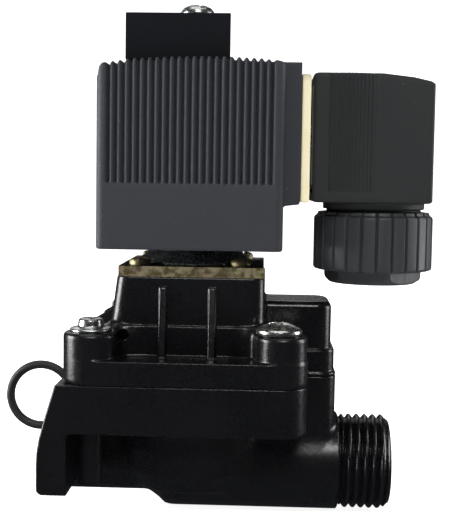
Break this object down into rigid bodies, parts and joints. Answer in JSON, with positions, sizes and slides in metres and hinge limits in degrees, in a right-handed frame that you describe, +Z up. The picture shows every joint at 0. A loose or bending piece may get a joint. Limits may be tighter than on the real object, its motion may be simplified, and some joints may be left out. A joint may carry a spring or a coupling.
{
  "type": "solenoid valve",
  "caption": "Plastic diaphragm valve with a threaded pipe outlet, an inlet flange, a turning coil on a guide tube, a pull-off plug and a cable gland.",
  "frame": {"origin": "the point of the base plane under the axis of the coil and armature", "axes": "+X along the outlet pipe to its threaded end, +Z up along the coil axis, +Y from the pictured front to the back"},
  "size_m": [0.1029, 0.0542, 0.1125],
  "materials": {
    "body_plastic": "glossy moulded black, fine texture",
    "black_rubber": "black rubber",
    "insert_plastic": "natural grey moulding",
    "bright_steel": "bright zinc plating",
    "zinc_yellow": "yellow zinc plating, mottled",
    "tube_steel": "drawn stainless",
    "core_steel": "turned magnetic steel",
    "copper": "enamelled copper",
    "coil_plastic": "matte charcoal",
    "cap_plastic": "smooth near-black",
    "gasket_rubber": "ivory",
    "plug_plastic": "matte dark grey",
    "brass": "bright brass",
    "gland_plastic": "satin dark grey"
  },
  "bodies": {
    "valve": {"valve_body": "body_plastic", "bonnet": "body_plastic", "body_screw_1": "bright_steel", "body_screw_2": "bright_steel", "body_screw_3": "bright_steel", "body_screw_4": "bright_steel", "plate_screw_1": "zinc_yellow", "plate_screw_2": "zinc_yellow", "plate_screw_3": "zinc_yellow", "plate_screw_4": "zinc_yellow", "duct_oring": "black_rubber", "inlet_oring": "black_rubber", "tube_oring": "black_rubber", "flange_plate": "zinc_yellow", "guide_tube": "tube_steel", "fixed_core": "core_steel", "shading_ring": "copper", "tube_collar": "bright_steel", "coil_seal": "black_rubber", "diaphragm": "black_rubber", "diaphragm_spring": "bright_steel", "armature_spring": "bright_steel"},
    "lifting_plate": {"diaphragm_plate": "insert_plastic"},
    "armature": {"armature": "core_steel", "armature_seal": "black_rubber"},
    "coil": {"coil_housing": "coil_plastic", "yoke": "core_steel", "bobbin": "insert_plastic", "winding": "copper", "coil_cap": "cap_plastic", "coil_screw_washer": "bright_steel", "coil_screw": "bright_steel", "pin_line": "bright_steel", "pin_neutral": "bright_steel", "pin_earth": "bright_steel", "connector_gasket": "gasket_rubber"},
    "plug": {"connector_housing": "plug_plastic", "terminal_block": "insert_plastic", "contact_line": "brass", "contact_neutral": "brass", "contact_earth": "brass", "terminal_screw_1": "bright_steel", "terminal_screw_2": "bright_steel", "gland_seal": "black_rubber", "gland_washer": "insert_plastic"},
    "plug_screw": {"connector_screw": "bright_steel"},
    "gland_nut": {"gland_nut": "gland_plastic"},
    "loose_ring": {"spare_oring": "black_rubber"}
  },
  "joints": [
    {"name": "diaphragm_lift", "type": "slide", "parent": "valve", "child": "lifting_plate", "axis": [0, 0, 1], "range_m": [0, 0.0026], "stiffness_N_per_m": 300, "springref_m": -0.004, "deforming": ["diaphragm", "diaphragm_spring"]},
    {"name": "armature_lift", "type": "slide", "parent": "valve", "child": "armature", "axis": [0, 0, 1], "range_m": [0, 0.0016], "stiffness_N_per_m": 400, "springref_m": -0.004, "deforming": ["armature_spring"]},
    {"name": "coil_swivel", "type": "hinge", "parent": "valve", "child": "coil", "pos_m": [0, 0, 0.0592], "axis": [0, 0, 1], "continuous": true},
    {"name": "plug_pull", "type": "slide", "parent": "coil", "child": "plug", "axis": [1, 0, 0], "range_m": [0, 0.012]},
    {"name": "plug_screw_turn", "type": "hinge", "parent": "plug", "child": "plug_screw", "pos_m": [0.051, 0, 0.083], "axis": [1, 0, 0], "continuous": true},
    {"name": "gland_nut_turn", "type": "hinge", "parent": "plug", "child": "gland_nut", "pos_m": [0.0399, 0, 0.06], "axis": [0, 0, 1], "continuous": true},
    {"name": "ring_turn", "type": "hinge", "parent": "valve", "child": "loose_ring", "pos_m": [-0.0409, 0.0272, 0.0183], "axis": [0, 1, 0], "continuous": true}
  ]
}
